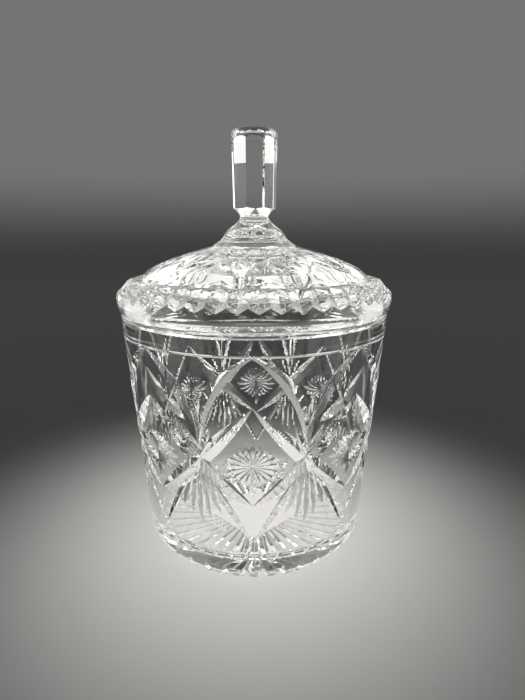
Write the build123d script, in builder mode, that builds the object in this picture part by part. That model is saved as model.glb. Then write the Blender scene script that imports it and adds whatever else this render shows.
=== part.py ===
"""A cut crystal jar with a loose domed lid and an eight-sided finial.

The origin is on the resting plane, at the centre of the foot, and +Z is the jar's axis. Millimetres.
"""

import os
from math import cos, pi, radians, sin, sqrt, tan

from build123d import *

# ---------------------------------------------------------------- jar
RIM_RADIUS = 72.0  # outside of the mouth
JAR_HEIGHT = 133.0
WALL_DRAFT = 4.8  # degrees that the wall leans outwards
WALL_THICKNESS = 5.5
BASE_THICKNESS = 13.5
FOOT_RADIUS = 52.0  # where the underside meets the bevel
BEVEL_HEIGHT = 10.0  # where the bevel meets the wall
BEVEL_ROUNDING = 8.0
FLOOR_ROUNDING = 8.0
RIM_ROUNDING = 1.4
RING_BELOW_RIM = 10.5  # fine ring cut around the outside
RING_DEPTH = 0.5
RING_HALF_WIDTH = 0.6

# star cut in the underside, whose rays turn up and notch the bevel
STAR_RAYS = 40
RAY_HALF_ANGLE = 50.0  # degrees, of the V section
RAY_LAND = 0.6  # flat glass left between two rays at the foot's edge
RAY_START = 3.0  # radius where the rays begin

# ---------------------------------------------------------------- lid
# heights on the lid are above the mouth of the jar
ROLL_RADIUS = 10.4  # section of the fat rolled rim
ROLL_HEIGHT = 7.0  # centre of that section
ROLL_OVERHANG = 1.7  # how far it stands out past the mouth
STEP_HEIGHT = 1.3  # from the top of the roll up to the dome's edge
STEP_GAP = 2.4  # from the roll's crown in to the foot of the step
STEP_SLOPE = 0.7  # how far the step leans in
DOME_MID_RADIUS = 45.0
DOME_MID_HEIGHT = 26.9
DOME_HEIGHT = 33.7
MOUND_RADIUS = 23.0
NECK_RADIUS = 7.6
NECK_HEIGHT = 48.7  # the plane where the finial is bonded on
MOUND_SWELL = ((0.33, 0.24), (0.58, 0.56), (0.91, 0.83))  # shares of the way in and up, dome to neck
FLANGE_DEPTH = 4.0  # how far the flange hangs into the mouth
FLANGE_CLEARANCE = 0.5
FLANGE_THICKNESS = 5.0
HOLLOW_EDGE_HEIGHT = 8.5
HOLLOW_TOP_HEIGHT = 26.0

# notches cut around the upper half of the rolled rim
NOTCHES = 50
NOTCH_TURN = 2.4  # degrees from -Y round to the first notch
NOTCH_TILT = 42.0  # degrees above level, looking out from the roll's centre
NOTCH_DEPTH = 2.6
NOTCH_OVERLAP = 1.7  # width of a notch over the spacing of two
NOTCH_WHEEL_RADIUS = 30.0
NOTCH_ARC = 60.0  # degrees of the wheel's rim that are modelled
NOTCH_SECTION = 2.0  # height of the V that is modelled, over the notch's depth

# ---------------------------------------------------------------- finial
FINIAL_SIDES = 8
FINIAL_TURN = 4.0  # degrees from facing a flat to -Y
FINIAL_HEIGHT = 42.8
FINIAL_FLARE_HEIGHT = 5.0  # from the bonded plane up to the full section
FINIAL_BASE_RADIUS = 11.9  # to the corners
FINIAL_TOP_RADIUS = 12.7
FINIAL_BEVEL_HEIGHT = 2.8
FINIAL_BEVEL_WIDTH = 1.7
FINIAL_EDGE_ROUNDING = 0.6

# ---------------------------------------------------------------- paper label
LABEL_SIDE = 38.0
LABEL_THICKNESS = 0.2
LABEL_OFFSET = 8.0  # towards -Y from the axis
LABEL_TURN = 45.0  # degrees, so that a corner points to the front


def wall_radius(height):
    """Radius of the outside of the jar's wall at a height."""
    return RIM_RADIUS - (JAR_HEIGHT - height) * tan(radians(WALL_DRAFT))


def bore_radius(height):
    """Radius of the inside of the jar's wall at a height."""
    return wall_radius(height) - WALL_THICKNESS


# ---------------------------------------------------------------- one ray of the star, to be cut away
ray_depth = (2 * pi * FOOT_RADIUS / STAR_RAYS - RAY_LAND) / 2 / tan(radians(RAY_HALF_ANGLE))
ray_rise = ray_depth / (FOOT_RADIUS - RAY_START)
ray_section = 4 * ray_depth
ray_half_width = ray_section * tan(radians(RAY_HALF_ANGLE))
ray_turn = (FOOT_RADIUS, 0, ray_depth)
bevel_width = wall_radius(BEVEL_HEIGHT) - FOOT_RADIUS
notch_end = (FOOT_RADIUS + 2 * bevel_width, 0, ray_depth + 2 * BEVEL_HEIGHT)

with BuildPart() as star_ray:
    # under the foot, from its edge in to the middle
    with BuildSketch(Plane(origin=ray_turn, x_dir=(0, 1, 0), z_dir=(-1, 0, -ray_rise))):
        with BuildLine():
            Polyline((0, 0), (ray_half_width, ray_section), (-ray_half_width, ray_section), close=True)
        make_face()
    extrude(amount=FOOT_RADIUS)
    # up the bevel
    with BuildSketch(Plane(origin=notch_end, x_dir=(0, 1, 0), z_dir=(-bevel_width, 0, -BEVEL_HEIGHT))):
        with BuildLine():
            Polyline((0, 0), (ray_half_width, ray_section), (-ray_half_width, ray_section), close=True)
        make_face()
    extrude(amount=2 * sqrt(bevel_width**2 + BEVEL_HEIGHT**2))

# ---------------------------------------------------------------- jar
ring_height = JAR_HEIGHT - RING_BELOW_RIM
ring_radius = wall_radius(ring_height)

with BuildPart() as jar:
    with BuildSketch(Plane.XZ) as jar_section:
        with BuildLine():
            Polyline(
                (0, 0),
                (FOOT_RADIUS, 0),
                (wall_radius(BEVEL_HEIGHT), BEVEL_HEIGHT),
                (wall_radius(JAR_HEIGHT), JAR_HEIGHT),
                (bore_radius(JAR_HEIGHT), JAR_HEIGHT),
                (bore_radius(BASE_THICKNESS), BASE_THICKNESS),
                (0, BASE_THICKNESS),
                close=True,
            )
        make_face()
        fillet(jar_section.vertices().filter_by_position(Axis.Y, BEVEL_HEIGHT, BEVEL_HEIGHT), BEVEL_ROUNDING)
        bore_corners = jar_section.vertices().filter_by_position(Axis.Y, BASE_THICKNESS, BASE_THICKNESS)
        fillet(bore_corners.sort_by(Axis.X)[-1], FLOOR_ROUNDING)
        fillet(jar_section.vertices().group_by(Axis.Y)[-1], RIM_ROUNDING)
    revolve(axis=Axis.Z)
    with BuildSketch(Plane.XZ):
        with BuildLine():
            Polyline(
                (ring_radius - RING_DEPTH, ring_height),
                (ring_radius + RING_DEPTH, ring_height + 2 * RING_HALF_WIDTH),
                (ring_radius + RING_DEPTH, ring_height - 2 * RING_HALF_WIDTH),
                close=True,
            )
        make_face()
    revolve(axis=Axis.Z, mode=Mode.SUBTRACT)
    with PolarLocations(0, STAR_RAYS, start_angle=180 / STAR_RAYS):
        add(star_ray.part, mode=Mode.SUBTRACT)

jar.part.label = "jar"

# ---------------------------------------------------------------- what the V-edged wheel of one notch cuts away
seat = JAR_HEIGHT
roll_centre = (RIM_RADIUS + ROLL_OVERHANG - ROLL_RADIUS, seat + ROLL_HEIGHT)
notch_out = (cos(radians(NOTCH_TILT)), sin(radians(NOTCH_TILT)))
notch_radius = roll_centre[0] + ROLL_RADIUS * notch_out[0]
notch_width = NOTCH_OVERLAP * 2 * pi * notch_radius / NOTCHES
wheel_distance = ROLL_RADIUS - NOTCH_DEPTH + NOTCH_WHEEL_RADIUS
wheel_centre = (
    roll_centre[0] + wheel_distance * notch_out[0],
    0,
    roll_centre[1] + wheel_distance * notch_out[1],
)
section_height = NOTCH_SECTION * NOTCH_DEPTH
section_half_width = NOTCH_SECTION * notch_width / 2
first_spoke = radians(NOTCH_TILT + NOTCH_ARC / 2)
wheel_plane = Plane(
    origin=wheel_centre,
    x_dir=(-cos(first_spoke), 0, -sin(first_spoke)),
    z_dir=(sin(first_spoke), 0, -cos(first_spoke)),
)

with BuildPart() as notch_wheel:
    with BuildSketch(wheel_plane):
        with BuildLine():
            Polyline(
                (NOTCH_WHEEL_RADIUS - section_height, section_half_width),
                (NOTCH_WHEEL_RADIUS, 0),
                (NOTCH_WHEEL_RADIUS - section_height, -section_half_width),
                close=True,
            )
        make_face()
    revolve(axis=Axis(wheel_centre, (0, 1, 0)), revolution_arc=NOTCH_ARC)

# ---------------------------------------------------------------- lid
flange_radius = bore_radius(seat - FLANGE_DEPTH) - FLANGE_CLEARANCE
hollow_radius = flange_radius - FLANGE_THICKNESS
roll_foot = (roll_centre[0] + sqrt(ROLL_RADIUS**2 - ROLL_HEIGHT**2), seat)
roll_crown = (roll_centre[0], roll_centre[1] + ROLL_RADIUS)
step_foot = (roll_crown[0] - STEP_GAP, roll_crown[1])
dome_edge = (step_foot[0] - STEP_SLOPE, step_foot[1] + STEP_HEIGHT)
mound_edge = (MOUND_RADIUS, seat + DOME_HEIGHT)
neck = (NECK_RADIUS, seat + NECK_HEIGHT)
mound_line = [
    (MOUND_RADIUS + inwards * (NECK_RADIUS - MOUND_RADIUS), mound_edge[1] + up * (neck[1] - mound_edge[1]))
    for inwards, up in MOUND_SWELL
]

with BuildPart() as lid:
    with BuildSketch(Plane.XZ):
        with BuildLine():
            Polyline(
                (hollow_radius, seat - FLANGE_DEPTH),
                (flange_radius, seat - FLANGE_DEPTH),
                (flange_radius, seat),
                roll_foot,
            )
            ThreePointArc(roll_foot, (roll_centre[0] + ROLL_RADIUS, roll_centre[1]), roll_crown)
            Polyline(roll_crown, step_foot, dome_edge)
            ThreePointArc(dome_edge, (DOME_MID_RADIUS, seat + DOME_MID_HEIGHT), mound_edge)
            # the mound swells out of the dome and then draws in to the neck
            Spline(mound_edge, *mound_line, neck, tangents=((-3, 1), (0, 1)))
            Polyline(neck, (0, neck[1]), (0, seat + HOLLOW_TOP_HEIGHT))
            TangentArc(
                (0, seat + HOLLOW_TOP_HEIGHT), (hollow_radius, seat + HOLLOW_EDGE_HEIGHT), tangent=(1, 0)
            )
            Line((hollow_radius, seat + HOLLOW_EDGE_HEIGHT), (hollow_radius, seat - FLANGE_DEPTH))
        make_face()
    revolve(axis=Axis.Z)
    with PolarLocations(0, NOTCHES, start_angle=NOTCH_TURN - 90):
        add(notch_wheel.part, mode=Mode.SUBTRACT)

lid.part.label = "lid"

# ---------------------------------------------------------------- finial
finial_foot = seat + NECK_HEIGHT
finial_top = finial_foot + FINIAL_HEIGHT
flare_top = (FINIAL_BASE_RADIUS, finial_foot + FINIAL_FLARE_HEIGHT)
corner_turn = FINIAL_TURN + 180 / FINIAL_SIDES

with BuildPart() as finial:
    # turned blank
    with BuildSketch(Plane.XZ):
        with BuildLine():
            Spline(neck, flare_top, tangents=((0, 1), (1, 1.2)))
            Polyline(
                flare_top,
                (FINIAL_TOP_RADIUS, finial_top - FINIAL_BEVEL_HEIGHT),
                (FINIAL_TOP_RADIUS - FINIAL_BEVEL_WIDTH, finial_top),
                (0, finial_top),
                (0, finial_foot),
                neck,
            )
        make_face()
    revolve(axis=Axis.Z)
    fillet(finial.edges().filter_by(GeomType.CIRCLE).sort_by(Axis.Z)[-1], FINIAL_EDGE_ROUNDING)
    # the flats, cut as one tapered prism
    with BuildSketch(Plane.XY.offset(finial_foot)):
        RegularPolygon(FINIAL_BASE_RADIUS, FINIAL_SIDES, rotation=corner_turn)
    with BuildSketch(Plane.XY.offset(finial_top)):
        RegularPolygon(FINIAL_TOP_RADIUS, FINIAL_SIDES, rotation=corner_turn)
    loft(mode=Mode.INTERSECT)

finial.part.label = "finial"

# ---------------------------------------------------------------- paper label, stuck on the floor inside
with BuildPart() as paper_label:
    with BuildSketch(Plane.XY.offset(BASE_THICKNESS)):
        with Locations((0, -LABEL_OFFSET)):
            Rectangle(LABEL_SIDE, LABEL_SIDE, rotation=LABEL_TURN)
    extrude(amount=LABEL_THICKNESS)

paper_label.part.label = "paper_label"

os.makedirs("parts", exist_ok=True)
export_step(jar.part, "parts/jar.step")
export_step(lid.part, "parts/lid.step")
export_step(finial.part, "parts/finial.step")
export_step(paper_label.part, "parts/paper_label.step")
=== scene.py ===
"""Looks of a cut crystal jar with a domed lid, an eight-sided finial and a paper label inside.

Every glass piece is a turned blank with V-shaped cuts taken out of it, as a cutter's wheel does.
Metres, in the part's own frame: +Z is the jar's axis and -Y is the front.
"""

from math import atan2, cos, degrees, pi, radians, sin, sqrt, tan

import bmesh
import bpy
import numpy as np
from mathutils import Matrix, Vector


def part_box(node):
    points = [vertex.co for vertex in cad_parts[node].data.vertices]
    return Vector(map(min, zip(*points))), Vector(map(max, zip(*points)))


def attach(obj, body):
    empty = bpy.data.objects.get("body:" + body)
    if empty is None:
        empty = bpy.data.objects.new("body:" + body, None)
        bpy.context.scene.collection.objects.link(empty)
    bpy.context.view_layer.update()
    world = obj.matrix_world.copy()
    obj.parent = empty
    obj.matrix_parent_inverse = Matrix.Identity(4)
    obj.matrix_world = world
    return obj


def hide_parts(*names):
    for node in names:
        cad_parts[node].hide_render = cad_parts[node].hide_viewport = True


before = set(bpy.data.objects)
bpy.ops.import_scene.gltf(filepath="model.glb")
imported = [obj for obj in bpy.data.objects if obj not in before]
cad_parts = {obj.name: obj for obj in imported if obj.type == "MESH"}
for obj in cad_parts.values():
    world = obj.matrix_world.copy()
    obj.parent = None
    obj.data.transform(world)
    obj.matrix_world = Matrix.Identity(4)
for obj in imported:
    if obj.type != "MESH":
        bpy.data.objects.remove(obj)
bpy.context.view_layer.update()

MM = 0.001
SEGMENTS = 540  # around every turned blank
SHARP_ANGLE = radians(16)

# ---------------------------------------------------------------- sizes, as in the part
RIM_RADIUS = 72.0 * MM
JAR_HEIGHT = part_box("jar")[1][2]
WALL_DRAFT = radians(4.8)
WALL_THICKNESS = 5.5 * MM
BASE_THICKNESS = 13.5 * MM
FOOT_RADIUS = 52.0 * MM
BEVEL_HEIGHT = 10.0 * MM
BEVEL_ROUNDING = 8.0 * MM
FLOOR_ROUNDING = 8.0 * MM
RIM_ROUNDING = 1.4 * MM
RING_HEIGHT = JAR_HEIGHT - 10.5 * MM
RING_DEPTH = 0.5 * MM
RING_HALF_WIDTH = 0.6 * MM
STAR_RAYS = 40
RAY_HALF_ANGLE = radians(50)
RAY_LAND = 0.6 * MM
RAY_START = 3.0 * MM

ROLL_RADIUS = 10.4 * MM
ROLL_HEIGHT = 7.0 * MM
ROLL_OVERHANG = 1.7 * MM
STEP_HEIGHT = 1.3 * MM
STEP_GAP = 2.4 * MM
STEP_SLOPE = 0.7 * MM
NOTCHES = 50
NOTCH_TURN = radians(2.4)
NOTCH_TILT = radians(42)
NOTCH_DEPTH = 2.6 * MM
NOTCH_OVERLAP = 1.7
NOTCH_WHEEL_RADIUS = 30.0 * MM
MOUND_RADIUS = 23.0 * MM
NECK_RADIUS = 7.6 * MM
NECK_HEIGHT = 48.7 * MM
FLANGE_DEPTH = 4.0 * MM
FLANGE_CLEARANCE = 0.5 * MM
FLANGE_THICKNESS = 5.0 * MM
HOLLOW_EDGE_HEIGHT = 8.5 * MM
HOLLOW_TOP_HEIGHT = 26.0 * MM

FINIAL_SIDES = 8
FINIAL_TURN = radians(4)
FINIAL_FLARE_HEIGHT = 5.0 * MM
FINIAL_BASE_RADIUS = 11.9 * MM
FINIAL_TOP_RADIUS = 12.7 * MM
FINIAL_BEVEL_HEIGHT = 2.8 * MM
FINIAL_BEVEL_WIDTH = 1.7 * MM
FINIAL_SPARE = 0.3 * MM  # glass outside the corners, cut away with the flats

SEAT_GAP = 0.08 * MM  # air left between glass pieces that rest on each other


# ---------------------------------------------------------------- outlines
def arc(centre, radius, start, end, steps):
    """Points on an arc from one angle to another, in degrees from the +r direction."""
    angles = np.radians(np.linspace(start, end, steps + 1))
    return [(centre[0] + radius * cos(a), centre[1] + radius * sin(a)) for a in angles]


def rounded(corners, steps=8):
    """A polyline whose corners (r, z, radius) are rounded with arcs."""
    out = []
    for i, (r, z, radius) in enumerate(corners):
        if radius == 0:
            out.append((r, z))
            continue
        here = Vector((r, z))
        back = (Vector(corners[i - 1][:2]) - here).normalized()
        ahead = (Vector(corners[i + 1][:2]) - here).normalized()
        half = back.angle(ahead) / 2
        middle = here + (back + ahead).normalized() * (radius / sin(half))
        first = here + back * (radius / tan(half)) - middle
        last = here + ahead * (radius / tan(half)) - middle
        turn = atan2(first.x * last.y - first.y * last.x, first.dot(last))
        for k in range(steps + 1):
            a = turn * k / steps
            out.append(
                (
                    middle.x + first.x * cos(a) - first.y * sin(a),
                    middle.y + first.x * sin(a) + first.y * cos(a),
                )
            )
    return out


def smooth_line(points, steps=6):
    """A Catmull-Rom curve through (r, z) points."""
    p = [Vector(q) for q in points]
    p = [2 * p[0] - p[1]] + p + [2 * p[-1] - p[-2]]
    out = []
    for a, b, c, d in zip(p, p[1:], p[2:], p[3:]):
        for k in range(steps):
            t = k / steps
            bend = 2 * a - 5 * b + 4 * c - d
            twist = 3 * b - a - 3 * c + d
            q = 0.5 * (2 * b + (c - a) * t + bend * t**2 + twist * t**3)
            out.append(tuple(q))
    return out + [tuple(p[-2])]


def wall_radius(z):
    return RIM_RADIUS - (JAR_HEIGHT - z) * tan(WALL_DRAFT)


def bore_radius(z):
    return wall_radius(z) - WALL_THICKNESS


def jar_outline():
    """Half section of the jar, from the axis under the foot round to the axis on the floor."""
    ring = wall_radius(RING_HEIGHT)
    return rounded(
        [
            (0, 0, 0),
            (FOOT_RADIUS, 0, 0),
            (wall_radius(BEVEL_HEIGHT), BEVEL_HEIGHT, BEVEL_ROUNDING),
            (wall_radius(RING_HEIGHT - RING_HALF_WIDTH), RING_HEIGHT - RING_HALF_WIDTH, 0),
            (ring - RING_DEPTH, RING_HEIGHT, 0),
            (wall_radius(RING_HEIGHT + RING_HALF_WIDTH), RING_HEIGHT + RING_HALF_WIDTH, 0),
            (RIM_RADIUS, JAR_HEIGHT, RIM_ROUNDING),
            (bore_radius(JAR_HEIGHT), JAR_HEIGHT, RIM_ROUNDING),
            (bore_radius(BASE_THICKNESS), BASE_THICKNESS, FLOOR_ROUNDING),
            (0, BASE_THICKNESS, 0),
        ]
    )


def lid_top_outline():
    """The lid's outside, from the seat over the roll, the dome and the mound to the neck."""
    seat = JAR_HEIGHT + SEAT_GAP
    roll = (RIM_RADIUS + ROLL_OVERHANG - ROLL_RADIUS, JAR_HEIGHT + ROLL_HEIGHT)
    foot_angle = -degrees(atan2(ROLL_HEIGHT - SEAT_GAP, sqrt(ROLL_RADIUS**2 - ROLL_HEIGHT**2)))
    crown = roll[1] + ROLL_RADIUS
    step = roll[0] - STEP_GAP
    dome = smooth_line(
        [
            (step - STEP_SLOPE, crown + STEP_HEIGHT),
            (55.4 * MM, seat + 22.4 * MM),
            (45.0 * MM, seat + 26.9 * MM),
            (34.0 * MM, seat + 30.4 * MM),
            (MOUND_RADIUS, seat + 33.6 * MM),
        ]
    )
    mound = smooth_line(
        [
            (MOUND_RADIUS, seat + 33.6 * MM),
            (18.0 * MM, seat + 37.2 * MM),
            (14.1 * MM, seat + 42.1 * MM),
            (9.0 * MM, seat + 46.2 * MM),
            (NECK_RADIUS, JAR_HEIGHT + NECK_HEIGHT - SEAT_GAP),
        ]
    )
    return arc(roll, ROLL_RADIUS, foot_angle, 90, 20) + [(step, crown)] + dome + mound[1:]


def lid_outline():
    seat = JAR_HEIGHT + SEAT_GAP
    flange = bore_radius(JAR_HEIGHT - FLANGE_DEPTH) - FLANGE_CLEARANCE
    hollow = flange - FLANGE_THICKNESS
    top = JAR_HEIGHT + HOLLOW_TOP_HEIGHT
    rise = HOLLOW_TOP_HEIGHT - HOLLOW_EDGE_HEIGHT
    sphere = (hollow**2 + rise**2) / 2 / rise
    edge = degrees(np.arccos(hollow / sphere))
    under = arc((0, top - sphere), sphere, 90, edge, 24)
    outside = lid_top_outline()
    bevel = 0.5 * MM
    return (
        [(flange, seat)]
        + outside
        + [(0, outside[-1][1])]
        + under
        + [
            (hollow, JAR_HEIGHT - FLANGE_DEPTH + bevel),
            (hollow + bevel, JAR_HEIGHT - FLANGE_DEPTH),
            (flange - bevel, JAR_HEIGHT - FLANGE_DEPTH),
            (flange, JAR_HEIGHT - FLANGE_DEPTH + bevel),
        ]
    )


def finial_outline():
    foot = JAR_HEIGHT + NECK_HEIGHT
    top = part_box("finial")[1][2]
    flare = [
        (NECK_RADIUS, foot),
        (8.1 * MM, foot + 1.7 * MM),
        (9.4 * MM, foot + 3.0 * MM),
        (11.2 * MM, foot + 4.2 * MM),
        (FINIAL_BASE_RADIUS + FINIAL_SPARE, foot + FINIAL_FLARE_HEIGHT),
    ]
    shoulder = rounded(
        [
            flare[-1] + (0,),
            (FINIAL_TOP_RADIUS + FINIAL_SPARE, top - FINIAL_BEVEL_HEIGHT - FINIAL_SPARE, 0),
            (FINIAL_TOP_RADIUS - FINIAL_BEVEL_WIDTH, top, 0.4 * MM),
            (0, top, 0),
        ],
        5,
    )
    return [(0, foot)] + smooth_line(flare, 4) + shoulder[1:]


# ---------------------------------------------------------------- turning
def mesh_object(name, vertices, faces):
    mesh = bpy.data.meshes.new(name)
    mesh.from_pydata([tuple(v) for v in vertices], [], faces)
    mesh.validate()
    work = bmesh.new()
    work.from_mesh(mesh)
    bmesh.ops.remove_doubles(work, verts=work.verts, dist=1e-7)
    bmesh.ops.recalc_face_normals(work, faces=work.faces)
    work.to_mesh(mesh)
    work.free()
    made = bpy.data.objects.new(name, mesh)
    bpy.context.collection.objects.link(made)
    return made


def turned(name, outline):
    """A closed solid of revolution. Points on the axis become poles."""
    vertices, rings = [], []
    for r, z in outline:
        if r < 1e-6:
            rings.append([len(vertices)])
            vertices.append((0, 0, z))
            continue
        ring = []
        for k in range(SEGMENTS):
            a = 2 * pi * (k + 0.5) / SEGMENTS
            ring.append(len(vertices))
            vertices.append((r * sin(a), -r * cos(a), z))
        rings.append(ring)
    if len(rings[0]) > 1:
        rings.append(rings[0])
    faces = []
    for low, high in zip(rings, rings[1:]):
        for k in range(SEGMENTS):
            j = (k + 1) % SEGMENTS
            if len(low) == 1 and len(high) == 1:
                break
            if len(low) == 1:
                faces.append((low[0], high[j], high[k]))
            elif len(high) == 1:
                faces.append((low[k], low[j], high[0]))
            else:
                faces.append((low[k], low[j], high[j], high[k]))
    return mesh_object(name, vertices, faces)


# ---------------------------------------------------------------- wheel cuts
class Cuts:
    """V-shaped solids, to be taken out of a blank."""

    def __init__(self):
        self.vertices, self.faces = [], []

    def add(self, valleys, outs, heights, half_angle, flat=0.12 * MM):
        """One cut: its valley line, the way out of the glass, and how tall the V is at each station."""
        first = len(self.vertices)
        count = len(valleys)
        for i, (valley, out, height) in enumerate(zip(valleys, outs, heights)):
            along = (valleys[min(i + 1, count - 1)] - valleys[max(i - 1, 0)]).normalized()
            across = along.cross(out).normalized()
            half = height * tan(half_angle) + flat / 2
            self.vertices += [
                valley - across * (flat / 2),
                valley + across * (flat / 2),
                valley + out * height + across * half,
                valley + out * height - across * half,
            ]
        for i in range(count - 1):
            a, b = first + 4 * i, first + 4 * i + 4
            for k in range(4):
                j = (k + 1) % 4
                self.faces.append((a + k, a + j, b + j, b + k))
        self.faces.append((first + 3, first + 2, first + 1, first))
        last = first + 4 * (count - 1)
        self.faces.append((last, last + 1, last + 2, last + 3))

    def on_surface(self, surface, path, width, half_angle, steps, blunt=0.0, late=1.0, stand=1.2 * MM):
        """A cut along a path on a surface, with pointed ends unless blunt, and widest further on if late."""
        valleys, outs, heights = [], [], []
        for k in range(steps + 1):
            t = k / steps
            point, out = surface(*path(t))
            depth = width * max(leaf(t**late), blunt) / 2 / tan(half_angle)
            valleys.append(point - out * depth)
            outs.append(out)
            heights.append(depth + stand)
        self.add(valleys, outs, heights, half_angle)

    def made(self, name):
        return mesh_object(name, self.vertices, self.faces)


def leaf(t):
    """Width of a cut along its length, from a wheel that sinks in and lifts out."""
    return max(4 * t * (1 - t), 0.0) ** 0.85 + 0.004


def straight(start, end):
    return lambda t: (start[0] + (end[0] - start[0]) * t, start[1] + (end[1] - start[1]) * t)


def bent(start, middle, end):
    """A parabola through three places, for a mitre that curves over the surface."""

    def at(t):
        a, b, c = 2 * (t - 0.5) * (t - 1), -4 * t * (t - 1), 2 * t * (t - 0.5)
        return tuple(a * s + b * m + c * e for s, m, e in zip(start, middle, end))

    return at


def on_wall(turn, z):
    """A place on the jar's wall: degrees round from the front, and height."""
    a = radians(turn)
    r = wall_radius(z)
    out = Vector((cos(WALL_DRAFT) * sin(a), -cos(WALL_DRAFT) * cos(a), -sin(WALL_DRAFT)))
    return Vector((r * sin(a), -r * cos(a), z)), out


def on_dome(outline):
    """The same for a place on the lid: degrees round, and distance from the axis."""
    radii = [r for r, z in outline][::-1]
    heights = [z for r, z in outline][::-1]

    def at(turn, r):
        a = radians(turn)
        z = np.interp(r, radii, heights)
        slope = (np.interp(r + MM, radii, heights) - np.interp(r - MM, radii, heights)) / (2 * MM)
        tilt = atan2(-slope, 1)
        out = Vector((sin(tilt) * sin(a), -sin(tilt) * cos(a), cos(tilt)))
        return Vector((r * sin(a), -r * cos(a), z)), out

    return at


# ---------------------------------------------------------------- the pattern on the jar
PANELS = 8
HALF_PANEL = 180 / PANELS
NODE_Z = 71.0 * MM  # where the long mitres cross
STAR_Z = 70.0 * MM
DIAMOND_TOP_Z = 99.2 * MM
DIAMOND_FOOT_Z = 48.7 * MM
LOWER_APEX_Z = 28.5 * MM
MITRE = radians(55)


# widths of the cuts
LONG_WIDTH = 8.6 * MM
ARCH_WIDTH = 6.4 * MM
LOWER_WIDTH = 3.2 * MM
UPPER_FAN_WIDTH = 3.0 * MM
LOWER_FAN_WIDTH = 3.8 * MM
UPPER_LEAF_WIDTH = 4.6 * MM
LOWER_LEAF_WIDTH = 4.2 * MM
STAR_WIDTH = 2.9 * MM
# fans at a node: degrees from its upright, and the height where each cut ends
UPPER_FAN = ((1.5, 96.0), (6.0, 89.0))
LOWER_FAN = ((4.5, 40.0), (9.0, 44.0))


def jar_cuts():
    """One eighth of the jar's pattern, around the panel at the front."""
    cuts = Cuts()
    for side in (-1, 1):
        node = (side * HALF_PANEL, NODE_Z)
        long_mitre = bent((0, DIAMOND_FOOT_Z), node, (2 * side * HALF_PANEL, DIAMOND_TOP_Z))
        cuts.on_surface(on_wall, long_mitre, LONG_WIDTH, MITRE, 44)
        arch = bent((side * 0.3, RING_HEIGHT), (side * 17.2, 101.5 * MM), (side * 22.3, NODE_Z + 1 * MM))
        cuts.on_surface(on_wall, arch, ARCH_WIDTH, MITRE, 40, blunt=0.3)
        lower = straight((side * 21.6, NODE_Z - 2 * MM), (side * 0.4, LOWER_APEX_Z))
        cuts.on_surface(on_wall, lower, LOWER_WIDTH, MITRE, 16, blunt=0.5)
        for turn, top in UPPER_FAN:
            start = (side * (HALF_PANEL - 0.25 * turn), NODE_Z + 4 * MM)
            end = (side * (HALF_PANEL - turn), top * MM)
            cuts.on_surface(on_wall, straight(start, end), UPPER_FAN_WIDTH, MITRE, 12)
        for turn, foot in LOWER_FAN:
            start = (side * (HALF_PANEL - 0.3 * turn), NODE_Z - 4.5 * MM)
            end = (side * (HALF_PANEL - turn), foot * MM)
            cuts.on_surface(on_wall, straight(start, end), LOWER_FAN_WIDTH, MITRE, 12)
    upper_leaf = straight((HALF_PANEL, NODE_Z + 4 * MM), (HALF_PANEL, 103 * MM))
    cuts.on_surface(on_wall, upper_leaf, UPPER_LEAF_WIDTH, MITRE, 14)
    lower_leaf = straight((HALF_PANEL, NODE_Z - 4 * MM), (HALF_PANEL, 37 * MM))
    cuts.on_surface(on_wall, lower_leaf, LOWER_LEAF_WIDTH, MITRE, 14)
    star_rays(cuts)
    return cuts


def star_rays(cuts, rays=20, reach=14.5 * MM):
    """The star in the middle of a diamond, whose level and lowest rays are the longest."""
    round_at = degrees(1 / wall_radius(NODE_Z))
    for k in range(rays):
        a = 2 * pi * k / rays
        length = reach * (0.74 + 0.26 * cos(a) ** 8)
        if k == 3 * rays // 4:
            length = 16.0 * MM
        start = (0.03 * length * cos(a) * round_at, STAR_Z + 0.03 * length * sin(a))
        end = (length * cos(a) * round_at, STAR_Z + length * sin(a))
        cuts.on_surface(on_wall, straight(start, end), STAR_WIDTH, MITRE, 12, late=1.8)


def base_ray():
    """One ray of the star under the foot, which turns up and notches the bevel."""
    cuts = Cuts()
    depth = (2 * pi * FOOT_RADIUS / STAR_RAYS - RAY_LAND) / 2 / tan(RAY_HALF_ANGLE)
    bevel = Vector((0, FOOT_RADIUS - wall_radius(BEVEL_HEIGHT), BEVEL_HEIGHT))
    start, turn = Vector((0, -RAY_START, 0)), Vector((0, -FOOT_RADIUS, depth))
    down = Vector((0, 0, -1))
    off_bevel = Vector((0, -bevel.z, bevel.y)).normalized()
    corner = (down + off_bevel).normalized() / cos(down.angle(off_bevel) / 2)
    valleys = [start, turn, turn + 2 * bevel]
    cuts.add(valleys, [down, corner, off_bevel], [4 * depth] * 3, RAY_HALF_ANGLE, 0.05 * MM)
    return cuts


# ---------------------------------------------------------------- the pattern on the lid
FANS = 12


def notch():
    """One notch of the rolled rim, cut by a wheel that leans out."""
    cuts = Cuts()
    roll = Vector((RIM_RADIUS + ROLL_OVERHANG - ROLL_RADIUS, JAR_HEIGHT + ROLL_HEIGHT))
    out = Vector((cos(NOTCH_TILT), sin(NOTCH_TILT)))
    hub = roll + out * (ROLL_RADIUS - NOTCH_DEPTH + NOTCH_WHEEL_RADIUS)
    spacing = 2 * pi * (roll.x + ROLL_RADIUS * out.x) / NOTCHES
    half_angle = np.arctan(NOTCH_OVERLAP * spacing / 2 / NOTCH_DEPTH)
    valleys, outs = [], []
    for a in np.linspace(-22, 22, 23):
        spoke = -out.copy()
        spoke.rotate(Matrix.Rotation(radians(a), 2))
        rim = hub + spoke * NOTCH_WHEEL_RADIUS
        valleys.append(Vector((0, -rim.x, rim.y)))
        outs.append(Vector((0, spoke.x, -spoke.y)))
    cuts.add(valleys, outs, [6 * MM] * 23, half_angle, 0.05 * MM)
    return cuts


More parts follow.
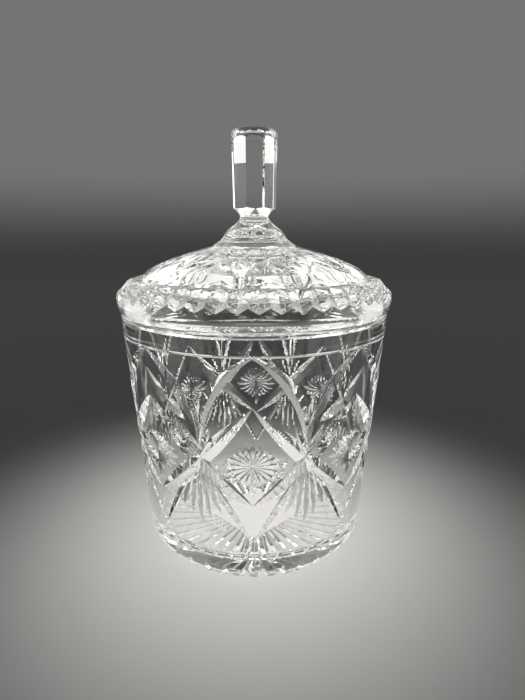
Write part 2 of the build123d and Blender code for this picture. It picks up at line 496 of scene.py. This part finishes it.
def lid_fan(surface):
    """One of the fans that stand along the dome's edge."""
    cuts = Cuts()
    cuts.on_surface(surface, straight((0, 57.5 * MM), (0, 31 * MM)), 3.6 * MM, MITRE, 14)
    for side in (-1, 1):
        cuts.on_surface(surface, straight((side * 0.9, 57 * MM), (side * 7.5, 37 * MM)), 3.0 * MM, MITRE, 12)
        cuts.on_surface(surface, straight((side * 1.6, 57 * MM), (side * 15, 43.5 * MM)), 3.4 * MM, MITRE, 12)
    cuts.on_surface(surface, straight((15, 42 * MM), (15, 27 * MM)), 2.6 * MM, MITRE, 10)
    return cuts


# ---------------------------------------------------------------- geometry nodes that take the cuts out
class Tree:
    """A small hand for building node trees."""

    def __init__(self, tree):
        self.tree = tree

    def node(self, kind, settings=None, **inputs):
        made = self.tree.nodes.new(kind)
        for key, value in (settings or {}).items():
            setattr(made, key, value)
        for key, value in inputs.items():
            name = key.replace("_", " ")
            socket = next(s for s in made.inputs if s.name == name and s.enabled)
            if isinstance(value, bpy.types.NodeSocket):
                self.tree.links.new(value, socket)
            else:
                socket.default_value = value
        return made


def cutting_tree(name, sets, operation="DIFFERENCE"):
    """A tree that repeats each set of cuts round the axis and takes them all out of the object's own mesh."""
    tree = bpy.data.node_groups.new(name, "GeometryNodeTree")
    face = tree.interface
    face.new_socket("Blank", in_out="INPUT", socket_type="NodeSocketGeometry")
    for label in sets:
        face.new_socket(label, in_out="INPUT", socket_type="NodeSocketObject")
        face.new_socket(f"{label} copies", in_out="INPUT", socket_type="NodeSocketInt")
        face.new_socket(f"{label} turn", in_out="INPUT", socket_type="NodeSocketFloat")
    face.new_socket("Sharp angle", in_out="INPUT", socket_type="NodeSocketFloat")
    face.new_socket("Glass", in_out="INPUT", socket_type="NodeSocketMaterial")
    face.new_socket("Piece", in_out="OUTPUT", socket_type="NodeSocketGeometry")
    t = Tree(tree)
    given = t.node("NodeGroupInput").outputs
    cut = t.node("GeometryNodeMeshBoolean", {"operation": operation, "solver": "MANIFOLD"})
    if operation == "DIFFERENCE":
        tree.links.new(given["Blank"], cut.inputs["Mesh 1"])
    else:
        tree.links.new(given["Blank"], cut.inputs["Mesh 2"])
    for label in sets:
        source = t.node("GeometryNodeObjectInfo", Object=given[label])
        places = t.node("GeometryNodePoints", Count=given[f"{label} copies"])
        index = t.node("GeometryNodeInputIndex")
        share = t.node("ShaderNodeMath", {"operation": "DIVIDE"})
        tree.links.new(index.outputs[0], share.inputs[0])
        tree.links.new(given[f"{label} copies"], share.inputs[1])
        angle = t.node("ShaderNodeMath", {"operation": "MULTIPLY_ADD"})
        tree.links.new(share.outputs[0], angle.inputs[0])
        angle.inputs[1].default_value = 2 * pi
        tree.links.new(given[f"{label} turn"], angle.inputs[2])
        turn = t.node("ShaderNodeCombineXYZ", Z=angle.outputs[0])
        placed = t.node(
            "GeometryNodeInstanceOnPoints",
            Points=places.outputs[0],
            Instance=source.outputs["Geometry"],
            Rotation=turn.outputs[0],
        )
        real = t.node("GeometryNodeRealizeInstances", Geometry=placed.outputs[0])
        island = t.node("GeometryNodeInputMeshIsland")
        apart = t.node("GeometryNodeSplitToInstances")
        tree.links.new(real.outputs[0], apart.inputs[0])
        tree.links.new(island.outputs[0], apart.inputs["Group ID"])
        tree.links.new(apart.outputs[0], cut.inputs["Mesh 2"])
    angle = t.node("GeometryNodeInputMeshEdgeAngle")
    flat = t.node("FunctionNodeCompare", {"data_type": "FLOAT", "operation": "LESS_THAN"})
    tree.links.new(angle.outputs[0], flat.inputs[0])
    tree.links.new(given["Sharp angle"], flat.inputs[1])
    soft = t.node("GeometryNodeSetShadeSmooth", {"domain": "EDGE"})
    tree.links.new(cut.outputs["Mesh"], soft.inputs[0])
    tree.links.new(flat.outputs[0], soft.inputs["Shade Smooth"])
    real = t.node("GeometryNodeRealizeInstances", Geometry=soft.outputs[0])
    glass = t.node("GeometryNodeSetMaterial", Geometry=real.outputs[0], Material=given["Glass"])
    t.node("NodeGroupOutput")
    tree.links.new(glass.outputs[0], tree.nodes["Group Output"].inputs[0])
    return tree


def cut_glass(name, blank, sets, material, operation="DIFFERENCE"):
    """Runs the tree on a blank and returns the finished piece. sets: name -> (cuts, copies, first turn)."""
    tree = cutting_tree(f"{name}_cutting", list(sets), operation)
    modifier = blank.modifiers.new("cutting", "NODES")
    modifier.node_group = tree
    sockets = {s.name: s.identifier for s in tree.interface.items_tree if s.in_out == "INPUT"}
    tools = []
    for label, (cuts, copies, turn) in sets.items():
        tool = cuts.made(f"{name}_{label}") if isinstance(cuts, Cuts) else cuts
        tool.hide_render = True
        tools.append(tool)
        modifier[sockets[label]] = tool
        modifier[sockets[f"{label} copies"]] = copies
        modifier[sockets[f"{label} turn"]] = turn
    modifier[sockets["Sharp angle"]] = SHARP_ANGLE
    modifier[sockets["Glass"]] = material
    bpy.context.view_layer.update()
    mesh = bpy.data.meshes.new_from_object(blank.evaluated_get(bpy.context.evaluated_depsgraph_get()))
    mesh.name = name
    piece = bpy.data.objects.new(name, mesh)
    bpy.context.collection.objects.link(piece)
    for used in (blank, *tools):
        bpy.data.objects.remove(used)
    return piece


def true_normals(piece, outline, offset=0.015 * MM):
    """Gives what is left of the turned surface its exact normals, so that it shades round up to each cut."""
    mesh = piece.data
    line = np.array(outline)
    low, step = line[:-1], np.diff(line, axis=0)
    length = np.maximum(np.hypot(*step.T), 1e-9)
    out = np.stack([step[:, 1], -step[:, 0]], axis=1) / length[:, None]
    bends = np.einsum("ij,ij->i", out[:-1], out[1:]) > cos(SHARP_ANGLE)
    start, end = out.copy(), out.copy()
    mixed = out[:-1] + out[1:]
    mixed /= np.linalg.norm(mixed, axis=1)[:, None]
    start[1:][bends] = mixed[bends]
    end[:-1][bends] = mixed[bends]
    points = np.empty(len(mesh.vertices) * 3)
    mesh.vertices.foreach_get("co", points)
    points = points.reshape(-1, 3)
    facing = np.empty(len(mesh.polygons) * 3)
    mesh.polygons.foreach_get("normal", facing)
    facing = facing.reshape(-1, 3)
    normals = np.zeros((len(mesh.loops), 3))
    corner = np.empty(len(mesh.loops), dtype=int)
    mesh.loops.foreach_get("vertex_index", corner)
    reach = np.hypot(points[:, 0], points[:, 1])
    flat = np.stack([reach, points[:, 2]], axis=1)
    for face in mesh.polygons:
        loops = list(face.loop_indices)
        own = corner[loops]
        spots = flat[own]
        middle = spots.mean(axis=0)
        along = np.clip(np.einsum("ij,ij->i", middle - low, step) / length**2, 0, 1)
        gap = np.hypot(*(low + step * along[:, None] - middle).T)
        k = int(gap.argmin())
        if gap[k] > offset + 0.02 * MM:
            continue
        t = np.clip(((spots - low[k]) @ step[k]) / length[k] ** 2, 0, 1)[:, None]
        n = start[k] * (1 - t) + end[k] * t
        r = np.maximum(reach[own], 1e-9)
        around = points[own][:, :2] / r[:, None]
        full = np.stack([n[:, 0] * around[:, 0], n[:, 0] * around[:, 1], n[:, 1]], axis=1)
        if full.mean(axis=0) @ facing[face.index] > cos(radians(2.5)):
            normals[loops] = full
    mesh.normals_split_custom_set([tuple(n) for n in normals])


# ---------------------------------------------------------------- finishes
class Shade:
    """A shader value that can be written in an expression."""

    def __init__(self, maker, socket):
        self.maker, self.socket = maker, socket

    def _maths(self, operation, other):
        return self.maker.node("ShaderNodeMath", {"operation": operation}, self, other)

    def __add__(self, other):
        return self._maths("ADD", other)

    def __mul__(self, other):
        return self._maths("MULTIPLY", other)

    __radd__, __rmul__ = __add__, __mul__


class Finish:
    """A material and a hand for building its nodes."""

    def __init__(self, name):
        self.material = bpy.data.materials.new(name)
        self.material.use_nodes = True
        self.tree = self.material.node_tree
        self.shader = self.tree.nodes["Principled BSDF"]

    def node(self, kind, settings=None, *values, output=0, **named):
        """Adds a node: its settings first, then what its sockets hold, in order or by name."""
        made = self.tree.nodes.new(kind)
        for key, value in (settings or {}).items():
            setattr(made, key, value)
        pairs = list(zip(made.inputs, values))
        for key, value in named.items():
            wanted = key.replace("_", " ")
            pairs.append((next(s for s in made.inputs if s.name == wanted and s.enabled), value))
        for socket, value in pairs:
            self.put(socket, value)
        return Shade(self, made.outputs[output])

    def put(self, socket, value):
        if isinstance(value, Shade):
            value = value.socket
        if isinstance(value, bpy.types.NodeSocket):
            self.tree.links.new(value, socket)
        else:
            socket.default_value = value

    def set(self, **sockets):
        for key, value in sockets.items():
            self.put(self.shader.inputs[key.replace("_", " ")], value)


def hand_polished_crystal(name, tint):
    """Lead crystal: clear and bright, with the slight waves and smears that hand polishing leaves."""
    glass = Finish(name)
    place = glass.node("ShaderNodeTexCoord", output=3)
    waves = glass.node("ShaderNodeTexNoise", None, Vector=place, Scale=90.0, Detail=1.0, Roughness=0.4)
    smears = glass.node("ShaderNodeTexNoise", None, Vector=place, Scale=160.0, Detail=3.0, Roughness=0.6)
    bump = glass.node("ShaderNodeBump", None, Strength=0.04, Distance=0.0004, Height=waves)
    glass.set(
        Base_Color=tint,
        Roughness=smears * 0.02,
        IOR=1.545,
        Transmission_Weight=1.0,
        Normal=bump,
    )
    return glass.material


def plain_paper():
    """The paper label, a little grey and mottled, with soft fibres."""
    paper = Finish("plain_paper")
    place = paper.node("ShaderNodeTexCoord", output=3)
    fibres = paper.node("ShaderNodeTexNoise", None, Vector=place, Scale=900.0, Detail=6.0, Roughness=0.7)
    stains = paper.node("ShaderNodeTexNoise", None, Vector=place, Scale=60.0, Detail=2.0)
    tone = paper.node("ShaderNodeMix", {"data_type": "RGBA"}, output=2)
    mix = tone.socket.node
    paper.put(mix.inputs[0], fibres * 0.5 + stains * 0.5)
    mix.inputs[6].default_value = (0.80, 0.79, 0.77, 1)
    mix.inputs[7].default_value = (0.92, 0.92, 0.90, 1)
    bump = paper.node("ShaderNodeBump", None, Strength=0.3, Distance=0.0001, Height=fibres)
    paper.set(Base_Color=tone, Roughness=0.8, Normal=bump)
    return paper.material


crystal = hand_polished_crystal("hand_polished_crystal", (0.985, 0.985, 0.982, 1))

# ---------------------------------------------------------------- pieces
jar_blank = turned("jar_blank", jar_outline())
jar = cut_glass(
    "cut_jar",
    jar_blank,
    {"wall": (jar_cuts(), PANELS, 0.0), "star": (base_ray(), STAR_RAYS, pi / STAR_RAYS)},
    crystal,
)
true_normals(jar, jar_outline())

lid_line = lid_outline()
lid_blank = turned("lid_blank", lid_line)
dome = on_dome(lid_top_outline())
lid = cut_glass(
    "cut_lid",
    lid_blank,
    {"notches": (notch(), NOTCHES, NOTCH_TURN), "fans": (lid_fan(dome), FANS, radians(-5.5))},
    crystal,
)
true_normals(lid, lid_line)


def finial_flats():
    """The tapered eight-sided prism that the finial's flats lie on."""
    foot, top = JAR_HEIGHT + NECK_HEIGHT - MM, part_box("finial")[1][2] + MM
    rise = FINIAL_TOP_RADIUS - FINIAL_BASE_RADIUS
    span = top - foot - 2 * MM
    vertices = []
    for z in (foot, top):
        r = FINIAL_BASE_RADIUS + rise * (z - foot - MM) / span
        for k in range(FINIAL_SIDES):
            a = FINIAL_TURN + 2 * pi * (k + 0.5) / FINIAL_SIDES
            vertices.append((r * sin(a), -r * cos(a), z))
    faces = [tuple(range(FINIAL_SIDES)), tuple(range(FINIAL_SIDES, 2 * FINIAL_SIDES))]
    for k in range(FINIAL_SIDES):
        j = (k + 1) % FINIAL_SIDES
        faces.append((k, j, j + FINIAL_SIDES, k + FINIAL_SIDES))
    return mesh_object("finial_flats", vertices, faces)


finial_blank = turned("finial_blank", finial_outline())
finial = cut_glass("cut_finial", finial_blank, {"flats": (finial_flats(), 1, 0.0)}, crystal, "INTERSECT")

for piece, node, body in (
    (jar, "jar", "jar_body"),
    (lid, "lid", "lid_body"),
    (finial, "finial", "lid_body"),
):
    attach(piece, body)
    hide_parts(node)

label = bpy.data.objects["paper_label"]
label.data.materials.clear()
label.data.materials.append(plain_paper())

# ---------------------------------------------------------------- studio
PITCH = 0.237
camera = bpy.data.objects.new("camera", bpy.data.cameras.new("camera"))
camera.data.lens = 24.94
camera.data.sensor_width = 36
camera.data.clip_start = 0.01
camera.location = (0.00439, -0.26856, 0.17359)
camera.rotation_euler = (pi / 2 - PITCH, 0, 0)
bpy.context.collection.objects.link(camera)
bpy.context.scene.camera = camera


def sweep():
    """A round studio floor that curves up into a backdrop on every side."""
    line = [(0, 0), (0.3, 0), (0.8, 0), (1.6, 0)] + arc((1.6, 0.9), 0.9, -90, 0, 12) + [(2.5, 2.6)]
    steps = 96
    vertices, faces = [(0, 0, 0)], []
    for r, z in line[1:]:
        for k in range(steps):
            a = 2 * pi * k / steps
            vertices.append((r * cos(a), r * sin(a), z))
    for k in range(steps):
        faces.append((0, 1 + k, 1 + (k + 1) % steps))
    for i in range(len(line) - 2):
        for k in range(steps):
            a, b = 1 + i * steps + k, 1 + i * steps + (k + 1) % steps
            faces.append((a, b, b + steps, a + steps))
    mesh = bpy.data.meshes.new("studio_floor")
    mesh.from_pydata(vertices, [], faces)
    work = bmesh.new()
    work.from_mesh(mesh)
    bmesh.ops.recalc_face_normals(work, faces=work.faces)
    if work.faces[0].normal.z < 0:
        bmesh.ops.reverse_faces(work, faces=work.faces)
    work.to_mesh(mesh)
    work.free()
    mesh.polygons.foreach_set("use_smooth", [True] * len(mesh.polygons))
    made = bpy.data.objects.new("studio_floor", mesh)
    bpy.context.collection.objects.link(made)
    return made


def paint_with_painted_glow(glow):
    """Matt pale paint; above the floor it has a painted glow, brighter with height, as a backdrop lit by its
    own lamps would look.
    """
    paint = Finish("paint_with_painted_glow")
    place = paint.node("ShaderNodeTexCoord", output=3)
    grain = paint.node("ShaderNodeTexNoise", None, Vector=place, Scale=300.0, Detail=2.0)
    # painted glow: the emission rises from none at 5 cm to full at 50 cm above the floor, standing in for
    # light on the backdrop
    height = paint.node("ShaderNodeSeparateXYZ", None, place, output=2)
    gentle = {"interpolation_type": "SMOOTHSTEP"}
    risen = paint.node("ShaderNodeMapRange", gentle, height, 0.05, 0.5, 0.0, 1.0)
    light = paint.node("ShaderNodeCombineXYZ", None, risen, risen, risen)
    paint.set(
        Base_Color=(0.36, 0.36, 0.36, 1),
        Roughness=grain * 0.1 + 0.55,
        Emission_Color=light,
        Emission_Strength=glow,
    )
    return paint.material


floor = sweep()
floor.data.materials.append(paint_with_painted_glow(0.14))


def lit_by(name, *objects):
    """A set of objects that some lamps are flagged to light alone."""
    group = bpy.data.collections.new(name)
    for thing in objects:
        group.objects.link(thing)
    return group


def softbox(name, place, size, glow, receivers, grid=180):
    """A square lamp that faces the jar. glow is how bright it looks; a grid narrows what it lights."""
    light = bpy.data.lights.new(name, "AREA")
    light.shape = "SQUARE"
    light.size = size
    light.spread = radians(grid)
    light.energy = glow * pi * size**2
    light.color = (1.0, 0.985, 0.95)
    lamp = bpy.data.objects.new(name, light)
    lamp.location = place
    lamp.rotation_euler = (Vector((0, 0, 0.09)) - Vector(place)).to_track_quat("-Z", "Y").to_euler()
    lamp.visible_camera = False
    lamp.light_linking.receiver_collection = receivers
    bpy.context.collection.objects.link(lamp)
    return lamp


on_jar = lit_by("lit_by_panels", jar, lid, finial, label)
on_floor = lit_by("lit_by_pool", floor)
pool = softbox("floor_pool", (0, 0, 0.8), 0.12, 5.4, on_floor, 26)
pool.light_linking.blocker_collection = on_floor  # light passes through the glass to the floor
on_label = lit_by("lit_through_glass", label)
window = softbox("label_light", (0, -0.2, 0.8), 0.5, 6.0, on_label)
window.light_linking.blocker_collection = on_label
softbox("overhead", (0, 0, 0.8), 1.3, 0.85, on_jar)
RING_LAMPS = 6
RING_REACH = 0.62
for k in range(RING_LAMPS):
    around = 2 * pi * (k + 0.5) / RING_LAMPS
    softbox(f"ring_{k}", (RING_REACH * sin(around), -RING_REACH * cos(around), 0.55), 0.55, 0.85, on_jar)
for name, side in (("left_panel", -1), ("right_panel", 1)):
    softbox(name, (side * 0.5, 0.1, 0.25), 0.9, 0.8, on_jar)

world = bpy.data.worlds.new("studio")
world.use_nodes = True
world.node_tree.nodes["Background"].inputs[0].default_value = (0.02, 0.02, 0.021, 1)
bpy.context.scene.world = world

bpy.context.scene.view_settings.view_transform = "Standard"
light_paths = bpy.context.scene.cycles
light_paths.max_bounces = 32
light_paths.transmission_bounces = 32
light_paths.glossy_bounces = 16
